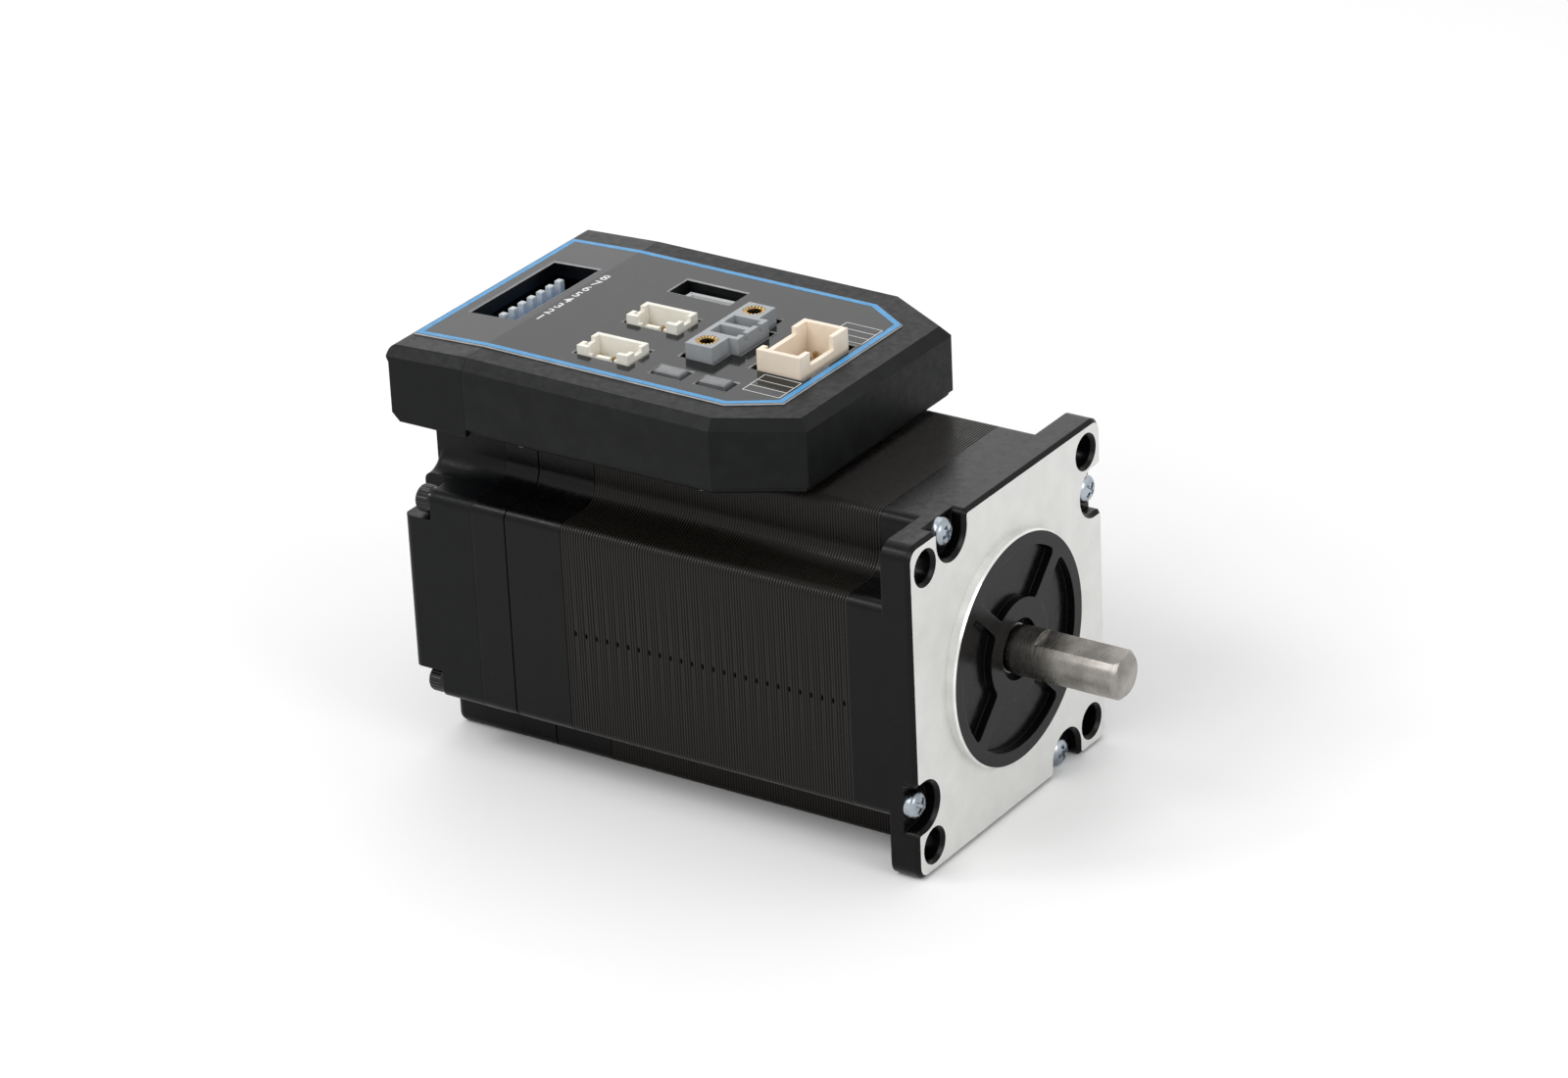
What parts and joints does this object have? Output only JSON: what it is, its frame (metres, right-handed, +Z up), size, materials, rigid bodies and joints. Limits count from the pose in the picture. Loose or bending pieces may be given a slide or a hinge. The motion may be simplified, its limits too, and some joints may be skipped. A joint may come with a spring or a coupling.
{
  "type": "integrated stepper motor",
  "caption": "Square-flanged stepper motor with a closed-loop drive box on its back, pluggable sockets, switches and a flatted output shaft.",
  "frame": {"origin": "on the shaft axis, at the front face of the mounting flange", "axes": "+X out along the shaft, +Z up through the drive box, +Y to the left seen from behind the motor"},
  "size_m": [0.1169, 0.0564, 0.0733],
  "materials": {
    "cast_black": "satin black paint on a die casting",
    "flange_metal": "satin front face, black painted body",
    "lamination": "black varnished sheet edges",
    "cover_black": "smooth satin black",
    "case_black": "fine spark-eroded black",
    "label_print": "dark grey satin film with a blue border",
    "shaft_steel": "ground",
    "bearing_steel": "polished",
    "cage_brass": "satin",
    "magnet_grey": "nickel plated",
    "insulator_plastic": "moulded",
    "coil_copper": "enamelled copper wire",
    "hub_aluminium": "turned",
    "board_green": "solder mask",
    "dip_blue": "moulded",
    "paddle_grey": "moulded",
    "socket_ivory": "moulded",
    "socket_grey": "moulded",
    "power_grey": "moulded",
    "signal_beige": "moulded",
    "pin_gold": "gold flashed",
    "insert_brass": "turned and knurled",
    "light_pipe_smoke": "smoky clear",
    "screw_zinc": "bright zinc",
    "screw_black": "black oxide",
    "lead_red": "insulated wire"
  },
  "bodies": {
    "motor": {"front_flange": "flange_metal", "stator_stack": "lamination", "insulator_front": "insulator_plastic", "insulator_rear": "insulator_plastic", "coil_1": "coil_copper", "coil_2": "coil_copper", "coil_3": "coil_copper", "coil_4": "coil_copper", "coil_5": "coil_copper", "coil_6": "coil_copper", "coil_7": "coil_copper", "coil_8": "coil_copper", "front_bearing_outer_ring": "bearing_steel", "rear_bearing_outer_ring": "bearing_steel", "wave_spring": "bearing_steel", "rear_bell": "cast_black", "adapter_ring": "cast_black", "encoder_board": "board_green", "rear_cover": "cover_black", "driver_case": "case_black", "driver_base": "case_black", "control_board": "board_green", "face_label": "label_print", "dip_switch": "dip_blue", "serial_socket_1": "socket_ivory", "serial_socket_2": "socket_ivory", "debug_socket": "socket_grey", "socket_pins": "pin_gold", "power_header": "power_grey", "power_inserts": "insert_brass", "power_pins": "pin_gold", "signal_header": "signal_beige", "signal_pins": "pin_gold", "light_pipe_1": "light_pipe_smoke", "light_pipe_2": "light_pipe_smoke", "tie_screws": "screw_zinc", "cover_screws": "screw_black", "cover_washers": "screw_black", "small_screws": "screw_zinc", "phase_leads": "lead_red"},
    "rotor": {"shaft": "shaft_steel", "rotor_cup_front": "lamination", "rotor_cup_rear": "lamination", "rotor_magnet": "magnet_grey", "front_bearing_inner_ring": "bearing_steel", "rear_bearing_inner_ring": "bearing_steel", "encoder_hub": "hub_aluminium", "encoder_magnet": "magnet_grey"},
    "front_cage": {"front_bearing_balls": "bearing_steel", "front_bearing_cage": "cage_brass"},
    "rear_cage": {"rear_bearing_balls": "bearing_steel", "rear_bearing_cage": "cage_brass"},
    "paddle_1": {"dip_paddle_1": "paddle_grey"},
    "paddle_2": {"dip_paddle_2": "paddle_grey"},
    "paddle_3": {"dip_paddle_3": "paddle_grey"},
    "paddle_4": {"dip_paddle_4": "paddle_grey"},
    "paddle_5": {"dip_paddle_5": "paddle_grey"},
    "paddle_6": {"dip_paddle_6": "paddle_grey"},
    "paddle_7": {"dip_paddle_7": "paddle_grey"},
    "paddle_8": {"dip_paddle_8": "paddle_grey"}
  },
  "joints": [
    {"name": "rotor_spin", "type": "hinge", "parent": "motor", "child": "rotor", "pos_m": [0, 0, 0], "axis": [1, 0, 0], "continuous": true},
    {"name": "front_cage_spin", "type": "hinge", "parent": "motor", "child": "front_cage", "pos_m": [-0.004, 0, 0], "axis": [1, 0, 0], "continuous": true},
    {"name": "rear_cage_spin", "type": "hinge", "parent": "motor", "child": "rear_cage", "pos_m": [-0.0702, 0, 0], "axis": [1, 0, 0], "continuous": true},
    {"name": "paddle_1_slide", "type": "slide", "parent": "motor", "child": "paddle_1", "axis": [1, 0, 0], "range_m": [0, 0.0018]},
    {"name": "paddle_2_slide", "type": "slide", "parent": "motor", "child": "paddle_2", "axis": [1, 0, 0], "range_m": [0, 0.0018]},
    {"name": "paddle_3_slide", "type": "slide", "parent": "motor", "child": "paddle_3", "axis": [1, 0, 0], "range_m": [0, 0.0018]},
    {"name": "paddle_4_slide", "type": "slide", "parent": "motor", "child": "paddle_4", "axis": [1, 0, 0], "range_m": [0, 0.0018]},
    {"name": "paddle_5_slide", "type": "slide", "parent": "motor", "child": "paddle_5", "axis": [1, 0, 0], "range_m": [0, 0.0018]},
    {"name": "paddle_6_slide", "type": "slide", "parent": "motor", "child": "paddle_6", "axis": [1, 0, 0], "range_m": [0, 0.0018]},
    {"name": "paddle_7_slide", "type": "slide", "parent": "motor", "child": "paddle_7", "axis": [1, 0, 0], "range_m": [0, 0.0018]},
    {"name": "paddle_8_slide", "type": "slide", "parent": "motor", "child": "paddle_8", "axis": [1, 0, 0], "range_m": [0, 0.0018]}
  ],
  "couplings": [
    {"joint": "front_cage_spin", "follows": "rotor_spin", "ratio": 0.4037},
    {"joint": "rear_cage_spin", "follows": "rotor_spin", "ratio": 0.4037}
  ]
}
